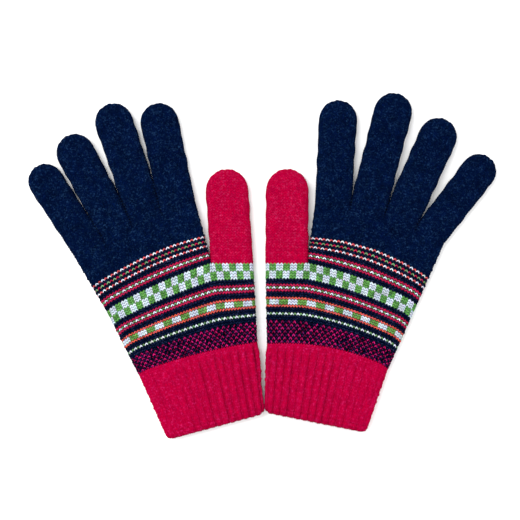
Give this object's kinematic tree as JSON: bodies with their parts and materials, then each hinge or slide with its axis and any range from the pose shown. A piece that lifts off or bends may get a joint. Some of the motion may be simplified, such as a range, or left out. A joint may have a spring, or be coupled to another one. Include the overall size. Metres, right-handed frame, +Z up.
{
  "type": "knitted gloves",
  "caption": "Pair of seamless knitted wool gloves lying flat, with plain navy fingers, crimson thumbs, a striped and checked Nordic-style hand and a ribbed crimson cuff.",
  "frame": {"origin": "on the table under the middle of the pair's bounding box, the gloves lying flat with their palms down", "axes": "+Y towards the fingertips, +X towards the glove named right, +Z up from the table"},
  "size_m": [0.315, 0.2323, 0.009],
  "materials": {
    "navy_melange": "brushed navy melange wool, plain stocking stitch",
    "stripe_jacquard": "two-colour stranded knitting: coral, white, green and crimson stitches on navy",
    "check_jacquard": "two-colour stranded knitting: green and white checks and blocks between navy, crimson and coral lines",
    "speck_jacquard": "two-colour stranded knitting: crimson specks on navy",
    "crimson_plain": "crimson wool, plain stocking stitch",
    "crimson_rib": "crimson wool, two by one rib",
    "crimson_hem": "crimson wool, overlocked edge",
    "elastic_yarn": "wool-covered elastic yarn"
  },
  "bodies": {
    "left_hand": {"left_knuckle_panel": "navy_melange", "left_stripe_band": "stripe_jacquard", "left_check_band": "check_jacquard", "left_speck_band": "speck_jacquard"},
    "left_cuff": {"left_rib_cuff": "crimson_rib", "left_cuff_hem": "crimson_hem", "left_cuff_elastic": "elastic_yarn"},
    "left_thumb": {"left_thumb_tube": "crimson_plain"},
    "left_index": {"left_index_tube": "navy_melange"},
    "left_middle": {"left_middle_tube": "navy_melange"},
    "left_ring": {"left_ring_tube": "navy_melange"},
    "left_little": {"left_little_tube": "navy_melange"},
    "right_hand": {"right_knuckle_panel": "navy_melange", "right_stripe_band": "stripe_jacquard", "right_check_band": "check_jacquard", "right_speck_band": "speck_jacquard"},
    "right_cuff": {"right_rib_cuff": "crimson_rib", "right_cuff_hem": "crimson_hem", "right_cuff_elastic": "elastic_yarn"},
    "right_thumb": {"right_thumb_tube": "crimson_plain"},
    "right_index": {"right_index_tube": "navy_melange"},
    "right_middle": {"right_middle_tube": "navy_melange"},
    "right_ring": {"right_ring_tube": "navy_melange"},
    "right_little": {"right_little_tube": "navy_melange"}
  },
  "joints": [
    {"name": "left_thumb_fold", "type": "hinge", "parent": "left_hand", "child": "left_thumb", "pos_m": [-0.0199, 0.0015, 0.009], "axis": [0.9977, 0.068, 0], "range_deg": [0, 90]},
    {"name": "left_index_fold", "type": "hinge", "parent": "left_hand", "child": "left_index", "pos_m": [-0.0566, 0.04115, 0.009], "axis": [0.9767, 0.2147, 0], "range_deg": [0, 70]},
    {"name": "left_middle_fold", "type": "hinge", "parent": "left_hand", "child": "left_middle", "pos_m": [-0.07845, 0.03465, 0.009], "axis": [0.9472, 0.3206, 0], "range_deg": [0, 70]},
    {"name": "left_ring_fold", "type": "hinge", "parent": "left_hand", "child": "left_ring", "pos_m": [-0.098, 0.025, 0.009], "axis": [0.8805, 0.4741, 0], "range_deg": [0, 70]},
    {"name": "left_little_fold", "type": "hinge", "parent": "left_hand", "child": "left_little", "pos_m": [-0.11725, 0.0135, 0.009], "axis": [0.8387, 0.5446, 0], "range_deg": [0, 70]},
    {"name": "left_cuff_fold", "type": "hinge", "parent": "left_hand", "child": "left_cuff", "pos_m": [-0.043, -0.0629, 0.009], "axis": [-0.9766, -0.2151, 0], "range_deg": [0, 90]},
    {"name": "right_thumb_fold", "type": "hinge", "parent": "right_hand", "child": "right_thumb", "pos_m": [0.017, 0.0015, 0.009], "axis": [1, -0.007, 0], "range_deg": [0, 90]},
    {"name": "right_index_fold", "type": "hinge", "parent": "right_hand", "child": "right_index", "pos_m": [0.0482, 0.0418, 0.009], "axis": [0.9982, -0.0593, 0], "range_deg": [0, 70]},
    {"name": "right_middle_fold", "type": "hinge", "parent": "right_hand", "child": "right_middle", "pos_m": [0.0721, 0.03975, 0.009], "axis": [0.9681, -0.2504, 0], "range_deg": [0, 70]},
    {"name": "right_ring_fold", "type": "hinge", "parent": "right_hand", "child": "right_ring", "pos_m": [0.09435, 0.03235, 0.009], "axis": [0.9121, -0.4099, 0], "range_deg": [0, 70]},
    {"name": "right_little_fold", "type": "hinge", "parent": "right_hand", "child": "right_little", "pos_m": [0.11375, 0.0209, 0.009], "axis": [0.7944, -0.6074, 0], "range_deg": [0, 70]},
    {"name": "right_cuff_fold", "type": "hinge", "parent": "right_hand", "child": "right_cuff", "pos_m": [0.04475, -0.0605, 0.009], "axis": [-0.9836, 0.1806, 0], "range_deg": [0, 90]},
    {"name": "right_glove_apart", "type": "slide", "parent": "left_hand", "child": "right_hand", "axis": [1, 0, 0], "range_m": [0, 0.1]}
  ]
}
